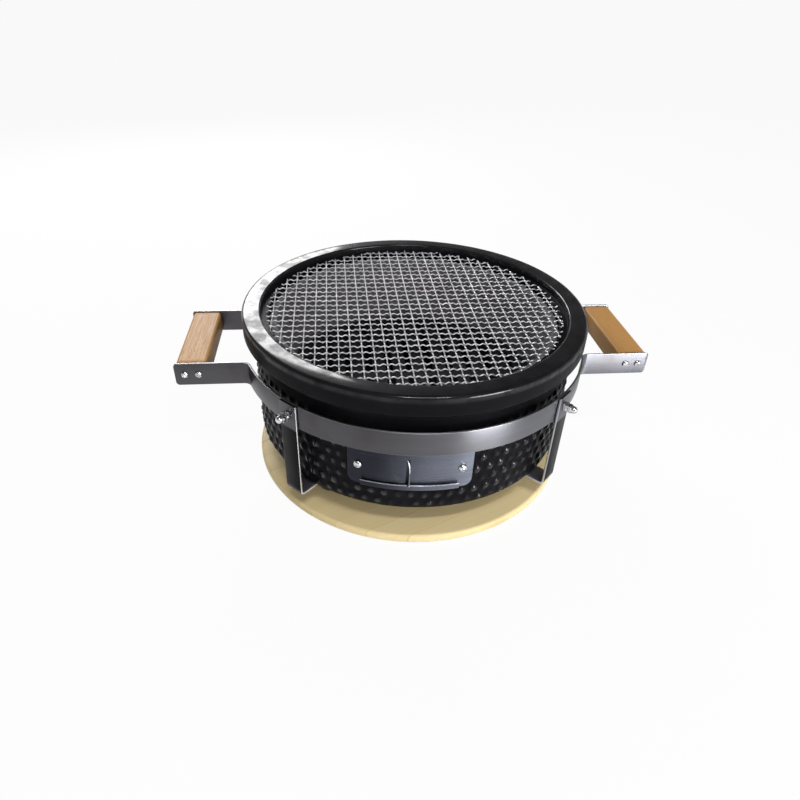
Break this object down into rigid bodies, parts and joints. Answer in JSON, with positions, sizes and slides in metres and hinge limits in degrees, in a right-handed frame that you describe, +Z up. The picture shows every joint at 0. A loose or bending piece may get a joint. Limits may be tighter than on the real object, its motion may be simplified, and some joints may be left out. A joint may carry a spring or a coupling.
{
  "type": "tabletop clay charcoal grill",
  "caption": "Round glazed clay charcoal grill in a flat steel cradle with wooden handles, a sliding air vent, a woven cooking mesh and a wooden base board.",
  "frame": {"origin": "centre of the wooden board's underside, below the bowl's axis", "axes": "+Z up, +X from the left handle to the right one, -Y towards the front, where the air vent is"},
  "size_m": [0.489, 0.364, 0.18],
  "materials": {
    "pine_board": "pale planed softwood, glued up from strips",
    "glazed_clay": "near-black satin glaze, dimpled below the band",
    "fireclay": "matt grey fired clay",
    "cast_iron": "rough black",
    "mesh_wire": "bright galvanised wire",
    "brushed_steel": "brushed along the strip",
    "bright_steel": "bright plated fasteners",
    "handle_wood": "oiled hardwood",
    "foot_rubber": "matt black"
  },
  "bodies": {
    "board": {"base_board": "pine_board"},
    "cradle": {"front_strap": "brushed_steel", "rear_strap": "brushed_steel", "handle_left": "handle_wood", "handle_right": "handle_wood", "handle_screw_left_front_1": "bright_steel", "handle_screw_left_front_2": "bright_steel", "handle_screw_left_rear_1": "bright_steel", "handle_screw_left_rear_2": "bright_steel", "handle_screw_right_front_1": "bright_steel", "handle_screw_right_front_2": "bright_steel", "handle_screw_right_rear_1": "bright_steel", "handle_screw_right_rear_2": "bright_steel", "leg_front_left": "brushed_steel", "leg_front_right": "brushed_steel", "leg_rear_right": "brushed_steel", "leg_rear_left": "brushed_steel", "leg_bolt_front_left": "bright_steel", "leg_bolt_front_right": "bright_steel", "leg_bolt_rear_right": "bright_steel", "leg_bolt_rear_left": "bright_steel", "leg_nut_front_left": "bright_steel", "leg_nut_front_right": "bright_steel", "leg_nut_rear_right": "bright_steel", "leg_nut_rear_left": "bright_steel", "leg_cap_nut_front_left": "bright_steel", "leg_cap_nut_front_right": "bright_steel", "leg_cap_nut_rear_right": "bright_steel", "leg_cap_nut_rear_left": "bright_steel", "foot_front_left": "foot_rubber", "foot_front_right": "foot_rubber", "foot_rear_right": "foot_rubber", "foot_rear_left": "foot_rubber", "foot_screw_front_left": "bright_steel", "foot_screw_front_right": "bright_steel", "foot_screw_rear_right": "bright_steel", "foot_screw_rear_left": "bright_steel"},
    "bowl": {"ceramic_bowl": "glazed_clay", "vent_frame": "brushed_steel", "vent_screw_left": "bright_steel", "vent_screw_right": "bright_steel"},
    "vent_slider": {"vent_door": "brushed_steel"},
    "fire_bowl": {"fire_bowl": "fireclay"},
    "charcoal_grate": {"charcoal_grate": "cast_iron"},
    "cooking_mesh": {"cooking_mesh": "mesh_wire"}
  },
  "joints": [
    {"name": "cradle_lift", "type": "slide", "parent": "board", "child": "cradle", "axis": [0, 0, 1], "range_m": [0, 0.04]},
    {"name": "bowl_lift", "type": "slide", "parent": "cradle", "child": "bowl", "axis": [0, 0, 1], "range_m": [0, 0.11]},
    {"name": "vent_slide", "type": "hinge", "parent": "bowl", "child": "vent_slider", "pos_m": [0, 0, 0.0914], "axis": [0, 0, 1], "range_deg": [0, 14.6]},
    {"name": "fire_bowl_lift", "type": "slide", "parent": "bowl", "child": "fire_bowl", "axis": [0, 0, 1], "range_m": [0, 0.13]},
    {"name": "grate_lift", "type": "slide", "parent": "fire_bowl", "child": "charcoal_grate", "axis": [0, 0, 1], "range_m": [0, 0.1]},
    {"name": "mesh_lift", "type": "slide", "parent": "charcoal_grate", "child": "cooking_mesh", "axis": [0, 0, 1], "range_m": [0, 0.03]}
  ]
}
